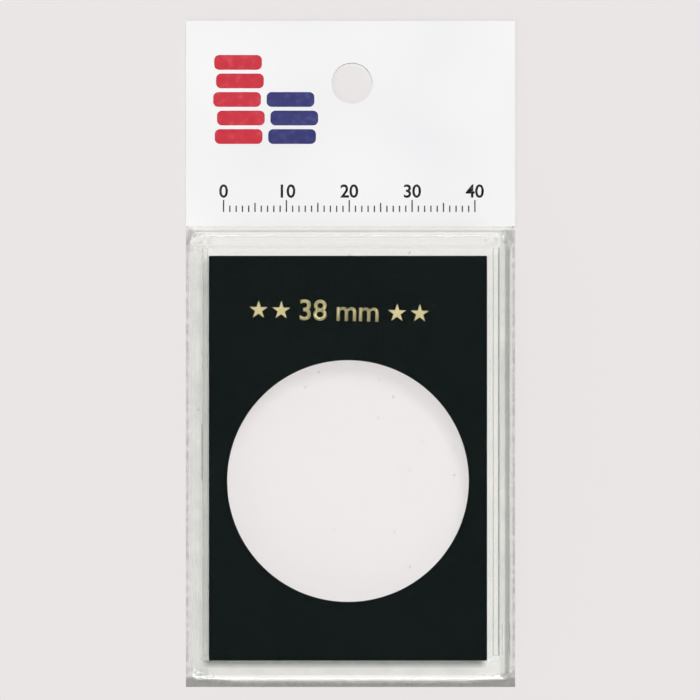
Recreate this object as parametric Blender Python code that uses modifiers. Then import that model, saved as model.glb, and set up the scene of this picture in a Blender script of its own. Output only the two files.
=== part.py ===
"""Clear snap-together holder for one large coin, packed in a clear hang bag with a white header.

The pack lies on its back. X runs across it, Y runs up to the header, and Z runs from back to front.
The holder is a tray with an outer wall and a cover whose two rails nest inside the long walls. A black
insert with the coin hole lies loose in the room between them. All lengths are in metres.
"""

import math

import bmesh
import bpy
from mathutils import Matrix

# Coin and insert
COIN_DIAMETER = 0.0381
COIN_CLEARANCE = 0.0003
INSERT_WIDTH = 0.0442
INSERT_LENGTH = 0.0643
INSERT_THICKNESS = 0.0026
INSERT_CHAMFER = 0.00015
HOLE_DROP = 0.00365

# Room round the insert, which lies at the bottom and the left of it
INSERT_SIDE_PLAY = 0.001
INSERT_END_PLAY = 0.0015
INSERT_REST_GAP = 0.0001
INSERT_HEADROOM = 0.0002

# Two clear halves
RAIL_THICKNESS = 0.0009
RAIL_HEIGHT = 0.0022
RAIL_LEAD_IN = 0.0003
RAIL_BOTTOM_RELIEF = 0.0009
FIT_GAP = 0.0002
SIDE_WALL_THICKNESS = 0.0017
TOP_WALL_THICKNESS = 0.0024
BOTTOM_WALL_THICKNESS = 0.003
FLOOR_THICKNESS = 0.0016
PLATE_THICKNESS = 0.00175
SEAT_GAP = 0.0001
CORNER_RADIUS = 0.0013
INNER_CORNER_RADIUS = 0.0004
FRONT_EDGE_ROUND = 0.0008
BACK_EDGE_ROUND = 0.0004

# Snap beads on the rails and their grooves in the side walls
BEAD_LENGTH = 0.009
BEAD_RADIUS = 0.0005
BEAD_PROUD = 0.00015
BEAD_DROP = 0.0012
GROOVE_CLEARANCE = 0.00015

# Notch for a fingernail, and the scar of the moulding gate
NOTCH_LENGTH = 0.0049
NOTCH_REACH = 0.0013
NOTCH_HEIGHT = 0.0008
NOTCH_FROM_BOTTOM = 0.004
GATE_RADIUS = 0.0009
GATE_PROUD = 0.00015

# Bag film and header
FILM_THICKNESS = 0.0001
FILM_CLEARANCE = 0.0003
FILM_EDGE_ROUND = 0.0011
SIDE_WELD = 0.0004
BOTTOM_WELD = 0.0008
WELD_GAP = 0.00005
MOUTH_LIP = 0.0009
HEADER_HEIGHT = 0.0327
HEADER_THICKNESS = 0.0002
SLIDE_CLEARANCE = 0.00015

# Hang hole
HANG_HOLE_DIAMETER = 0.0065
HANG_HOLE_BELOW_TOP = 0.0099
HANG_HOLE_SIDE_STEP = 0.00024
HANG_HOLE_SLIP = 0.00045

# Fineness of round stretches
CORNER_SEGMENTS = 4
EDGE_SEGMENTS = 3
BEAD_SIDES = 16
COIN_HOLE_POINTS = 24
HANG_HOLE_POINTS = 12

# How far a cutter runs past the wall that it cuts, and how deep joined shapes sink into each other
CUT_PAST = 0.001
JOIN_DEPTH = 0.0004
LEVEL_TOLERANCE = 1e-6
SIDES = ((-1, "left"), (1, "right"))

# Sizes that follow from the ones above
ROOM_WIDTH = INSERT_WIDTH + INSERT_SIDE_PLAY
ROOM_LENGTH = INSERT_LENGTH + INSERT_END_PLAY
ROOM_HEIGHT = INSERT_THICKNESS + 2 * INSERT_HEADROOM
RAILS_OUTER_WIDTH = ROOM_WIDTH + 2 * RAIL_THICKNESS
WALL_INNER_WIDTH = RAILS_OUTER_WIDTH + 2 * FIT_GAP
HOLDER_WIDTH = WALL_INNER_WIDTH + 2 * SIDE_WALL_THICKNESS
HOLDER_LENGTH = BOTTOM_WALL_THICKNESS + ROOM_LENGTH + TOP_WALL_THICKNESS
RAIL_LENGTH = ROOM_LENGTH - FIT_GAP - RAIL_BOTTOM_RELIEF
TRAY_HEIGHT = FLOOR_THICKNESS + ROOM_HEIGHT - SEAT_GAP
HOLDER_HEIGHT = FLOOR_THICKNESS + ROOM_HEIGHT + PLATE_THICKNESS
BAG_WIDTH = HOLDER_WIDTH + 2 * (FILM_CLEARANCE + FILM_THICKNESS + SIDE_WELD)
POUCH_LENGTH = MOUTH_LIP + HOLDER_LENGTH + FILM_CLEARANCE + FILM_THICKNESS + BOTTOM_WELD
BAG_LENGTH = POUCH_LENGTH + HEADER_HEIGHT

# Places in the holder, whose centre is at X = 0 and Y = 0
ROOM_BOTTOM_Y = -HOLDER_LENGTH / 2 + BOTTOM_WALL_THICKNESS
ROOM_CENTRE_Y = ROOM_BOTTOM_Y + ROOM_LENGTH / 2
RAIL_X = (ROOM_WIDTH + RAIL_THICKNESS) / 2
RAIL_CENTRE_Y = ROOM_BOTTOM_Y + RAIL_BOTTOM_RELIEF + RAIL_LENGTH / 2
BEAD_X = RAILS_OUTER_WIDTH / 2 + BEAD_PROUD - BEAD_RADIUS
INSERT_X = -ROOM_WIDTH / 2 + INSERT_REST_GAP + INSERT_WIDTH / 2
INSERT_Y = ROOM_BOTTOM_Y + INSERT_REST_GAP + INSERT_LENGTH / 2
INSERT_Z = FLOOR_THICKNESS + INSERT_HEADROOM
PLATE_Z = FLOOR_THICKNESS + ROOM_HEIGHT

# Places in the pack
BAG_BOTTOM_Y = -BAG_LENGTH / 2
BAG_TOP_Y = BAG_LENGTH / 2
HEADER_BOTTOM_Y = BAG_TOP_Y - HEADER_HEIGHT
HOLDER_CENTRE_Y = HEADER_BOTTOM_Y - MOUTH_LIP - HOLDER_LENGTH / 2
HEADER_Z = FILM_THICKNESS + WELD_GAP
HOLDER_Z = HEADER_Z + HEADER_THICKNESS + SLIDE_CLEARANCE
HANG_HOLE_Y = BAG_TOP_Y - HANG_HOLE_BELOW_TOP


def clear_scene():
    for old in list(bpy.data.objects):
        bpy.data.objects.remove(old, do_unlink=True)


def new_collection(name):
    collection = bpy.data.collections.new(name)
    bpy.context.scene.collection.children.link(collection)
    return collection


def new_material(name, colour, roughness, transmission=0.0, ior=1.5):
    material = bpy.data.materials.new(name)
    material.use_nodes = True
    shader = material.node_tree.nodes["Principled BSDF"]
    shader.inputs["Base Color"].default_value = (*colour, 1.0)
    shader.inputs["Roughness"].default_value = roughness
    shader.inputs["Metallic"].default_value = 0.0
    shader.inputs["Transmission Weight"].default_value = transmission
    shader.inputs["IOR"].default_value = ior
    return material


def new_empty(name, collection, parent=None, location=(0.0, 0.0, 0.0)):
    empty = bpy.data.objects.new(name, None)
    collection.objects.link(empty)
    empty.parent = parent
    empty.location = location
    return empty


def new_object(name, data, collection, parent, location=(0.0, 0.0, 0.0)):
    made = bpy.data.objects.new(name, data)
    collection.objects.link(made)
    made.parent = parent
    made.location = location
    return made


def mesh_from(shape, name):
    """Turn a bmesh into mesh data, with flat faces flat and round ones smooth."""
    bmesh.ops.recalc_face_normals(shape, faces=shape.faces)
    mesh = bpy.data.meshes.new(name)
    shape.to_mesh(mesh)
    shape.free()
    mesh.shade_smooth()
    mesh.set_sharp_from_angle(angle=math.radians(30))
    return mesh


def edges_at_level(shape, level):
    return [e for e in shape.edges if all(abs(v.co.z - level) < LEVEL_TOLERANCE for v in e.verts)]


def round_edges(shape, edges, size, segments):
    bmesh.ops.bevel(
        shape,
        geom=edges,
        offset=size,
        offset_type="OFFSET",
        segments=segments,
        profile=0.5,
        affect="EDGES",
        clamp_overlap=True,
    )


def box(width, length, height):
    """Box centred on X and Y that stands on Z = 0."""
    shape = bmesh.new()
    bmesh.ops.create_cube(shape, size=1.0)
    bmesh.ops.scale(shape, vec=(width, length, height), verts=shape.verts)
    bmesh.ops.translate(shape, vec=(0.0, 0.0, height / 2), verts=shape.verts)
    return shape


def rounded_slab(width, length, height, radius):
    """Box with its four upright edges rounded."""
    shape = box(width, length, height)
    upright = [e for e in shape.edges if abs(e.verts[0].co.z - e.verts[1].co.z) > LEVEL_TOLERANCE]
    round_edges(shape, upright, radius, CORNER_SEGMENTS)
    return shape


def rod(length, radius):
    """Cylinder along Y, centred on the origin."""
    shape = bmesh.new()
    bmesh.ops.create_cone(
        shape, cap_ends=True, segments=BEAD_SIDES, radius1=radius, radius2=radius, depth=length
    )
    bmesh.ops.rotate(shape, matrix=Matrix.Rotation(math.radians(90), 3, "X"), verts=shape.verts)
    return shape


def shape_with(target, operation, name, shape, place, tools):
    """Cut a shape out of the target, or join it on. The shape stays as a wire tool that moves with it."""
    tool = new_object(name, mesh_from(shape, name), tools, target, place)
    tool.hide_render = True
    tool.display_type = "WIRE"
    modifier = target.modifiers.new(f"{operation.lower()}_{name}", "BOOLEAN")
    modifier.operation = operation
    modifier.solver = "EXACT"
    modifier.object = tool


def keep_flats_flat(piece):
    """Let the large faces lead the smooth shading, so that flats stay flat beside the rounded edges."""
    normals = piece.modifiers.new("flat_faces_lead", "WEIGHTED_NORMAL")
    normals.mode = "FACE_AREA"
    normals.keep_sharp = True


def make_back_tray(parts, tools, holder):
    """Floor with an outer wall, a groove for each snap bead, a fingernail notch and a gate scar."""
    shape = rounded_slab(HOLDER_WIDTH, HOLDER_LENGTH, TRAY_HEIGHT, CORNER_RADIUS)
    round_edges(shape, edges_at_level(shape, 0.0), BACK_EDGE_ROUND, EDGE_SEGMENTS)
    tray = new_object("back_tray", mesh_from(shape, "back_tray"), parts, holder)

    wall_height = TRAY_HEIGHT - FLOOR_THICKNESS
    room = rounded_slab(WALL_INNER_WIDTH, ROOM_LENGTH, wall_height + CUT_PAST, INNER_CORNER_RADIUS)
    shape_with(tray, "DIFFERENCE", "tray_room", room, (0.0, ROOM_CENTRE_Y, FLOOR_THICKNESS), tools)

    for side, word in SIDES:
        groove = rod(BEAD_LENGTH + 2 * GROOVE_CLEARANCE, BEAD_RADIUS + GROOVE_CLEARANCE)
        place = (side * BEAD_X, RAIL_CENTRE_Y, PLATE_Z - BEAD_DROP)
        shape_with(tray, "DIFFERENCE", f"groove_{word}", groove, place, tools)

    notch_reach = NOTCH_REACH + CUT_PAST
    notch = box(notch_reach, NOTCH_LENGTH, NOTCH_HEIGHT + CUT_PAST)
    place = (
        HOLDER_WIDTH / 2 - NOTCH_REACH + notch_reach / 2,
        -HOLDER_LENGTH / 2 + NOTCH_FROM_BOTTOM + NOTCH_LENGTH / 2,
        TRAY_HEIGHT - NOTCH_HEIGHT,
    )
    shape_with(tray, "DIFFERENCE", "nail_notch", notch, place, tools)

    scar = rod(BOTTOM_WALL_THICKNESS, GATE_RADIUS)
    place = (0.0, ROOM_BOTTOM_Y - BOTTOM_WALL_THICKNESS / 2 - GATE_PROUD, TRAY_HEIGHT / 2)
    shape_with(tray, "UNION", "gate_scar", scar, place, tools)
    keep_flats_flat(tray)
    return tray


def make_front_cover(parts, tools, holder):
    """Plate with a rounded front edge, and under it a rail with a snap bead along each long side."""
    shape = rounded_slab(HOLDER_WIDTH, HOLDER_LENGTH, PLATE_THICKNESS, CORNER_RADIUS)
    round_edges(shape, edges_at_level(shape, PLATE_THICKNESS), FRONT_EDGE_ROUND, EDGE_SEGMENTS)
    cover = new_object("front_cover", mesh_from(shape, "front_cover"), parts, holder, (0, 0, PLATE_Z))

    for side, word in SIDES:
        rail = rounded_slab(RAIL_THICKNESS, RAIL_LENGTH, RAIL_HEIGHT + JOIN_DEPTH, INNER_CORNER_RADIUS)
        round_edges(rail, edges_at_level(rail, 0.0), RAIL_LEAD_IN, 1)
        place = (side * RAIL_X, RAIL_CENTRE_Y, -RAIL_HEIGHT)
        shape_with(cover, "UNION", f"rail_{word}", rail, place, tools)

        bead = rod(BEAD_LENGTH, BEAD_RADIUS)
        place = (side * BEAD_X, RAIL_CENTRE_Y, -BEAD_DROP)
        shape_with(cover, "UNION", f"snap_bead_{word}", bead, place, tools)
    keep_flats_flat(cover)
    return cover


def rectangle_spline(curve, width, length):
    spline = curve.splines.new("POLY")
    spline.points.add(3)
    corners = ((-1, -1), (1, -1), (1, 1), (-1, 1))
    for point, (x, y) in zip(spline.points, corners):
        point.co = (x * width / 2, y * length / 2, 0.0, 1.0)
    spline.use_cyclic_u = True


def circle_spline(curve, radius, centre, points):
    """Round hole in a flat outline: four Bezier arcs, each cut into as many points as given."""
    spline = curve.splines.new("BEZIER")
    spline.bezier_points.add(3)
    handle = radius * 4 / 3 * math.tan(math.pi / 8)
    for number, point in enumerate(spline.bezier_points):
        angle = number * math.pi / 2
        out = (math.cos(angle), math.sin(angle))
        along = (-out[1], out[0])
        at = [c + radius * o for c, o in zip(centre, out)]
        point.co = (*at, 0.0)
        point.handle_left = (at[0] - handle * along[0], at[1] - handle * along[1], 0.0)
        point.handle_right = (at[0] + handle * along[0], at[1] + handle * along[1], 0.0)
    spline.resolution_u = points
    spline.use_cyclic_u = True


def flat_outline(name, width, length, thickness, hole_radius, hole_centre, hole_points):
    """Sheet centred on the origin with one round hole."""
    curve = bpy.data.curves.new(name, "CURVE")
    curve.dimensions = "2D"
    curve.fill_mode = "BOTH"
    curve.extrude = thickness / 2
    rectangle_spline(curve, width, length)
    circle_spline(curve, hole_radius, hole_centre, hole_points)
    return curve


def make_coin_insert(parts, holder):
    hole_radius = (COIN_DIAMETER + COIN_CLEARANCE) / 2
    outline = flat_outline(
        "coin_insert",
        INSERT_WIDTH,
        INSERT_LENGTH,
        INSERT_THICKNESS,
        hole_radius,
        (0.0, -HOLE_DROP),
        COIN_HOLE_POINTS,
    )
    place = (INSERT_X, INSERT_Y, INSERT_Z + INSERT_THICKNESS / 2)
    insert = new_object("coin_insert", outline, parts, holder, place)
    weld = insert.modifiers.new("join_faces", "WELD")
    weld.merge_threshold = LEVEL_TOLERANCE
    chamfer = insert.modifiers.new("edge_chamfer", "BEVEL")
    chamfer.width = INSERT_CHAMFER
    chamfer.segments = 1
    chamfer.limit_method = "ANGLE"
    chamfer.angle_limit = math.radians(30)
    return insert


def make_bag_back_film(parts, bag):
    hole_centre = (HANG_HOLE_SIDE_STEP, HANG_HOLE_Y - HANG_HOLE_SLIP)
    outline = flat_outline(
        "bag_back_film",
        BAG_WIDTH,
        BAG_LENGTH,
        FILM_THICKNESS,
        HANG_HOLE_DIAMETER / 2,
        hole_centre,
        HANG_HOLE_POINTS,
    )
    return new_object("bag_back_film", outline, parts, bag, (0, 0, FILM_THICKNESS / 2))


def make_header_panel(parts, bag):
    header_centre_y = BAG_TOP_Y - HEADER_HEIGHT / 2
    hole_centre = (HANG_HOLE_SIDE_STEP, HANG_HOLE_Y - header_centre_y)
    outline = flat_outline(
        "header_panel",
        BAG_WIDTH,
        HEADER_HEIGHT,
        HEADER_THICKNESS,
        HANG_HOLE_DIAMETER / 2,
        hole_centre,
        HANG_HOLE_POINTS,
    )
    place = (0.0, header_centre_y, HEADER_Z + HEADER_THICKNESS / 2)
    return new_object("header_panel", outline, parts, bag, place)


def make_bag_front_film(parts, bag):
    """Pouch of film over the holder: a box open at its back and mouth, with a weld flange round it."""
    inner_width = HOLDER_WIDTH + 2 * FILM_CLEARANCE
    inner_bottom = BAG_BOTTOM_Y + BOTTOM_WELD + FILM_THICKNESS
    mouth = HEADER_BOTTOM_Y - WELD_GAP
    inner_height = HOLDER_Z + HOLDER_HEIGHT + FILM_CLEARANCE - HEADER_Z
    shape = box(inner_width, mouth - inner_bottom, inner_height)
    middle = ((mouth + inner_bottom) / 2, HEADER_Z)
    bmesh.ops.translate(shape, vec=(0.0, *middle), verts=shape.verts)
    shape.faces.ensure_lookup_table()
    open_sides = [f for f in shape.faces if f.normal.z < -0.5 or f.normal.y > 0.5]
    bmesh.ops.delete(shape, geom=open_sides, context="FACES")

    corner_radius = CORNER_RADIUS + FILM_CLEARANCE
    upright = [
        e
        for e in shape.edges
        if abs(e.verts[0].co.z - e.verts[1].co.z) > LEVEL_TOLERANCE and not e.is_boundary
    ]
    round_edges(shape, upright, corner_radius, CORNER_SEGMENTS)
    top = HEADER_Z + inner_height
    rim = [e for e in edges_at_level(shape, top) if not e.is_boundary]
    round_edges(shape, rim, FILM_EDGE_ROUND, EDGE_SEGMENTS)

    foot = [e for e in edges_at_level(shape, HEADER_Z) if e.is_boundary]
    flange = bmesh.ops.extrude_edge_only(shape, edges=foot)
    arc_centre = (inner_width / 2 - corner_radius, inner_bottom + corner_radius)
    for vertex in (v for v in flange["geom"] if isinstance(v, bmesh.types.BMVert)):
        widen_to_weld(vertex, arc_centre, corner_radius)

    film = new_object("bag_front_film", mesh_from(shape, "bag_front_film"), parts, bag)
    solid = film.modifiers.new("film_thickness", "SOLIDIFY")
    solid.thickness = FILM_THICKNESS
    solid.offset = 1.0
    solid.use_even_offset = True
    return film


def widen_to_weld(vertex, arc_centre, corner_radius):
    """Move a point of the pouch's foot out to the straight edge of the weld, corners square."""
    side = math.copysign(1.0, vertex.co.x)
    across = (abs(vertex.co.x) - arc_centre[0]) / corner_radius
    down = max(0.0, (arc_centre[1] - vertex.co.y) / corner_radius)
    longest = max(abs(across), down)
    reach_x = corner_radius + FILM_THICKNESS + SIDE_WELD
    reach_y = corner_radius + FILM_THICKNESS + BOTTOM_WELD
    if abs(vertex.co.x) > arc_centre[0] - LEVEL_TOLERANCE:
        vertex.co.x = side * (arc_centre[0] + reach_x * across / longest)
    if down > 0.0:
        vertex.co.y = arc_centre[1] - reach_y * down / longest


def build():
    clear_scene()
    parts = new_collection("coin_holder")
    tools = new_collection("cutters")
    bag = new_empty("bag", parts)
    holder = new_empty("holder", parts, bag, (0.0, HOLDER_CENTRE_Y, HOLDER_Z))

    finishes = (
        (make_back_tray(parts, tools, holder), (0.93, 0.95, 0.93), 0.05, 1.0, 1.59),
        (make_front_cover(parts, tools, holder), (0.94, 0.95, 0.94), 0.04, 1.0, 1.59),
        (make_coin_insert(parts, holder), (0.008, 0.011, 0.010), 0.45, 0.0, 1.5),
        (make_bag_back_film(parts, bag), (0.95, 0.95, 0.95), 0.1, 1.0, 1.5),
        (make_bag_front_film(parts, bag), (0.95, 0.95, 0.95), 0.1, 1.0, 1.5),
        (make_header_panel(parts, bag), (0.91, 0.92, 0.93), 0.35, 0.0, 1.5),
    )
    for piece, colour, roughness, transmission, ior in finishes:
        piece.data.materials.append(new_material(piece.name, colour, roughness, transmission, ior))


build()
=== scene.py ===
# %% [markdown]
# # A coin holder in its hang bag
#
# The object is a clear holder for one large coin, packed for a shop's peg. Two clear mouldings snap
# together round a black insert with a round hole, and a bag of thin film with a white header holds them.
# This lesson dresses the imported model, the frame, with finer meshes and with materials made of nodes. The
# frame says where everything is, so each piece starts from the frame's own boxes.

# %% Load the frame
import math

import bmesh
import bpy
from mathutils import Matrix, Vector, noise


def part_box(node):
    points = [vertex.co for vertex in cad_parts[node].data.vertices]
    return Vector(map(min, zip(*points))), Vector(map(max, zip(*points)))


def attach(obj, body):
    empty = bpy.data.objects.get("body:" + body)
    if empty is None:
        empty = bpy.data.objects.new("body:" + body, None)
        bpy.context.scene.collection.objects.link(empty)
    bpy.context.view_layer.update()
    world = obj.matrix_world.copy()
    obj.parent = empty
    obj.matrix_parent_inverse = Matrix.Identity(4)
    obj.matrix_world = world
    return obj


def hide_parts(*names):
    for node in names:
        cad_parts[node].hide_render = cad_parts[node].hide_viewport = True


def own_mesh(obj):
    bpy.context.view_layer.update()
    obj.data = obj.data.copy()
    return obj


MM = 0.001


def in_mm(lengths):
    return [round(length / MM, 2) for length in lengths]


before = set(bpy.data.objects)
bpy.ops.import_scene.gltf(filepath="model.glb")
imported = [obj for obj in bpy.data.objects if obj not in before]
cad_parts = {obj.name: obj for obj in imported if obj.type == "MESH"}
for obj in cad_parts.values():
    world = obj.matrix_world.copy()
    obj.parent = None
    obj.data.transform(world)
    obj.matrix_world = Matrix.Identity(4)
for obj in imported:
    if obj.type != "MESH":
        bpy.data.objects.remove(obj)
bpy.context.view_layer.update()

# %% [markdown]
# ## Sizes that come from the frame
#
# The cover's box gives the holder's outline, because nothing stands proud of it there. The insert's box
# says where the black plate lies. Wall thicknesses and roundings aren't boxes, so each is named where it
# is first needed.

# %% Read the boxes
tray_low, tray_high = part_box("back_tray")
cover_low, cover_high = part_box("front_cover")
insert_low, insert_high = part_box("coin_insert")
header_low, header_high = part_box("header_panel")
back_film_low, back_film_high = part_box("bag_back_film")
front_film_low, front_film_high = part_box("bag_front_film")

TOP_WALL = 2.4 * MM
BOTTOM_WALL = 3.0 * MM
holder_centre = (cover_low + cover_high) / 2
half_width = (cover_high.x - cover_low.x) / 2
holder_length = cover_high.y - cover_low.y
room_length = holder_length - TOP_WALL - BOTTOM_WALL
print("half width, length and room of the holder in mm:", in_mm((half_width, holder_length, room_length)))

# %% [markdown]
# ## A few hand movements
#
# Modelling by hand is a short list of movements: add a block, pick edges or faces in edit mode, bevel or
# extrude them. The helpers below are those movements. A script can't click, so it picks by a test on the
# place or the normal of each edge or face.

# %% Helpers for blocks and picking
def leave_edit_mode():
    if bpy.context.mode != "OBJECT":
        bpy.ops.object.mode_set(mode="OBJECT")


def deselect_all():
    leave_edit_mode()
    bpy.ops.object.select_all(action="DESELECT")


def settle(name):
    """Name the active object and move its place and size into its mesh."""
    piece = bpy.context.object
    piece.name = name
    piece.data.name = name
    bpy.ops.object.transform_apply(location=True, rotation=True, scale=True)
    return piece


def start_block(name, low, high):
    deselect_all()
    bpy.ops.mesh.primitive_cube_add(size=1.0, location=(low + high) / 2)
    bpy.context.object.scale = high - low
    return settle(name)


def start_plane(name, size, place):
    deselect_all()
    bpy.ops.mesh.primitive_plane_add(size=1.0, location=place)
    bpy.context.object.scale = (*size, 1.0)
    return settle(name)


def pick(piece, kind, test=None):
    """Go into edit mode and select the vertices, edges or faces that pass the test, or all of them."""
    bpy.context.view_layer.objects.active = piece
    if bpy.context.mode != "EDIT_MESH":
        bpy.ops.object.mode_set(mode="EDIT")
    bpy.ops.mesh.select_mode(type=kind)
    bpy.ops.mesh.select_all(action="DESELECT")
    mesh = bmesh.from_edit_mesh(piece.data)
    elements = {"VERT": mesh.verts, "EDGE": mesh.edges, "FACE": mesh.faces}[kind]
    for element in elements:
        if test is None or test(element):
            element.select_set(True)
    bmesh.update_edit_mesh(piece.data)


def pull(height):
    """Extrude the picked faces straight up, or down where the height is negative."""
    bpy.ops.mesh.extrude_region_move(TRANSFORM_OT_translate={"value": (0.0, 0.0, height)})


def bevel(piece, test, size, segments):
    pick(piece, "EDGE", test)
    bpy.ops.mesh.bevel(offset=size, segments=segments, affect="EDGES", clamp_overlap=True)


def count(piece):
    leave_edit_mode()
    print(f"{piece.name}: {len(piece.data.polygons)} faces")


print("ready to start a block, pick, pull, bevel and count")

# %% [markdown]
# Most edges that get a rounding are of two kinds: upright edges at the corners, and rims, where a flat
# meets a wall. A rim is known by its level and by the way its wall faces, out of the holder or into its
# room.

# %% Helpers that find edges
NEAR = 0.01 * MM
UPRIGHT_LEAST = 0.1 * MM
FACING = 0.9
STEEP = 0.5


def is_upright(edge):
    return abs(edge.verts[0].co.z - edge.verts[1].co.z) > UPRIGHT_LEAST


def middle_of(edge):
    return (edge.verts[0].co + edge.verts[1].co) / 2


def is_rim(edge, level, outward):
    if any(abs(vertex.co.z - level) > NEAR for vertex in edge.verts):
        return False
    walls = [face for face in edge.link_faces if abs(face.normal.z) < STEEP]
    if len(walls) != 1:
        return False
    return (walls[0].normal.dot(middle_of(edge) - holder_centre) > 0) == outward


def round_rim(piece, level, size, segments, outward=True):
    bevel(piece, lambda edge: is_rim(edge, level, outward), size, segments)


print("ready to find upright edges and rims")

# %% [markdown]
# ## Back tray
#
# The tray is one clear moulding: a floor with a wall all round, thicker at the two ends. It could be cut
# from a block with a Boolean, but an inset and an extrude leave cleaner faces, and on clear plastic every
# stray edge shows as a line. So the top face is inset by the side wall, squeezed to the length of the
# room, and pushed down to the floor. Then the upright corners and the rims get their roundings.

# %% Tray block, room and roundings
SIDE_WALL = 1.7 * MM
TRAY_FLOOR = 1.6 * MM
CORNER_RADIUS = 1.3 * MM
ROOM_CORNER_RADIUS = 0.4 * MM
BACK_ROUND = 0.4 * MM
MOULD_EDGE = 0.12 * MM
ROOM_EDGE = 0.16 * MM

tray = start_block(
    "tray_moulding",
    Vector((cover_low.x, cover_low.y, tray_low.z)),
    Vector((cover_high.x, cover_high.y, tray_high.z)),
)
pick(tray, "FACE", lambda face: face.normal.z > FACING)
bpy.ops.mesh.inset(thickness=SIDE_WALL)
room_squeeze = room_length / (holder_length - 2 * SIDE_WALL)
bpy.ops.transform.resize(value=(1.0, room_squeeze, 1.0), center_override=holder_centre)
bpy.ops.transform.translate(value=(0.0, (BOTTOM_WALL - TOP_WALL) / 2, 0.0))
room_depth = tray_high.z - tray_low.z - TRAY_FLOOR
pull(-room_depth)


def is_corner(edge):
    return is_upright(edge) and abs(edge.verts[0].co.x) > half_width - NEAR


def is_room_corner(edge):
    return is_upright(edge) and abs(edge.verts[0].co.x) < half_width - CORNER_RADIUS - NEAR


bevel(tray, is_corner, CORNER_RADIUS, segments=8)
bevel(tray, is_room_corner, ROOM_CORNER_RADIUS, segments=5)
round_rim(tray, tray_low.z, BACK_ROUND, segments=5)
round_rim(tray, tray_high.z, MOULD_EDGE, segments=2)
round_rim(tray, tray_high.z, ROOM_EDGE, segments=3, outward=False)
round_rim(tray, tray_low.z + TRAY_FLOOR, MOULD_EDGE, segments=2, outward=False)
count(tray)

# %% [markdown]
# ## Tools that cut and join
#
# What comes next crosses finished roundings, where only a Boolean modifier helps: a rod or a block is cut
# out of the piece, or joined on, and thrown away. A finished piece is shaded smooth, and a Weighted Normal
# modifier lets its large flats lead, so that they still look flat.

# %% Helpers for rods, modifiers and shading
def start_rod(name, centre, radius, length, turn=(0.0, 0.0, 0.0), sides=48):
    deselect_all()
    bpy.ops.mesh.primitive_cylinder_add(
        vertices=sides, radius=radius, depth=length, location=centre, rotation=turn
    )
    return settle(name)


def select_only(piece):
    deselect_all()
    piece.select_set(True)
    bpy.context.view_layer.objects.active = piece


def apply_modifier(piece, kind, **settings):
    select_only(piece)
    modifier = piece.modifiers.new(kind.lower(), kind)
    for name, value in settings.items():
        setattr(modifier, name, value)
    bpy.ops.object.modifier_apply(modifier=modifier.name)


def combine(piece, tool, operation):
    apply_modifier(piece, "BOOLEAN", operation=operation, solver="EXACT", object=tool)
    bpy.data.objects.remove(tool, do_unlink=True)


def smooth(piece, degrees=35):
    select_only(piece)
    bpy.ops.object.shade_smooth_by_angle(angle=math.radians(degrees))
    apply_modifier(piece, "WEIGHTED_NORMAL", mode="FACE_AREA", weight=100, keep_sharp=True)


print("ready to start a rod, combine and smooth")

# %% [markdown]
# The snap needs two more things in the tray: a groove in each long wall, where the cover's bead clicks in,
# and a notch at the lower right where a fingernail starts to lift the cover. Its edges are rounded to
# catch light. A faint round scar at the bottom end is where the plastic flowed into the mould.

# %% Grooves, notch and gate scar
FIT_GAP = 0.2 * MM
SEAT_GAP = 0.1 * MM
RAIL_RELIEF = 0.9 * MM
BEAD_LENGTH = 9.0 * MM
BEAD_RADIUS = 0.5 * MM
BEAD_PROUD = 0.15 * MM
BEAD_DROP = 1.2 * MM
GROOVE_ROOM = 0.15 * MM
NOTCH_LENGTH = 4.9 * MM
NOTCH_REACH = 1.3 * MM
NOTCH_HEIGHT = 0.8 * MM
NOTCH_FROM_BOTTOM = 4.0 * MM
NOTCH_EDGE = 0.3 * MM
GATE_RADIUS = 0.9 * MM
CUT_PAST = 1.0 * MM
ALONG_Y = (math.radians(90), 0.0, 0.0)
SHARP = math.radians(60)

plate_low_z = tray_high.z + SEAT_GAP
rail_outer_x = half_width - SIDE_WALL - FIT_GAP
rail_low_y = cover_low.y + BOTTOM_WALL + RAIL_RELIEF
rail_high_y = cover_high.y - TOP_WALL - FIT_GAP
bead_x = rail_outer_x + BEAD_PROUD - BEAD_RADIUS
bead_centres = [
    Vector((side * bead_x, (rail_low_y + rail_high_y) / 2, plate_low_z - BEAD_DROP)) for side in (-1, 1)
]
groove_length = BEAD_LENGTH + 2 * GROOVE_ROOM
for centre in bead_centres:
    groove = start_rod("groove", centre, BEAD_RADIUS + GROOVE_ROOM, groove_length, ALONG_Y)
    combine(tray, groove, "DIFFERENCE")

notch_low_y = cover_low.y + NOTCH_FROM_BOTTOM
notch = start_block(
    "notch",
    Vector((half_width - NOTCH_REACH, notch_low_y, tray_high.z - NOTCH_HEIGHT)),
    Vector((half_width + CUT_PAST, notch_low_y + NOTCH_LENGTH, tray_high.z + CUT_PAST)),
)
combine(tray, notch, "DIFFERENCE")


def is_sharp(edge):
    return edge.calc_face_angle(0.0) > SHARP


def is_notch_edge(edge):
    middle = middle_of(edge)
    along = notch_low_y - NEAR < middle.y < notch_low_y + NOTCH_LENGTH + NEAR
    aside = middle.x > half_width - NOTCH_REACH - NEAR
    return along and aside and middle.z > tray_high.z - NOTCH_HEIGHT - NEAR and is_sharp(edge)


bevel(tray, is_notch_edge, NOTCH_EDGE, segments=3)
gate_centre = Vector((0.0, tray_low.y + BOTTOM_WALL / 2, (tray_low.z + tray_high.z) / 2))
gate = start_rod("gate", gate_centre, GATE_RADIUS, BOTTOM_WALL, ALONG_Y)
combine(tray, gate, "UNION")
smooth(tray)
count(tray)
print(f"the gate scar stands {(cover_low.y - tray_low.y) / MM:.2f} mm proud")

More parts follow.
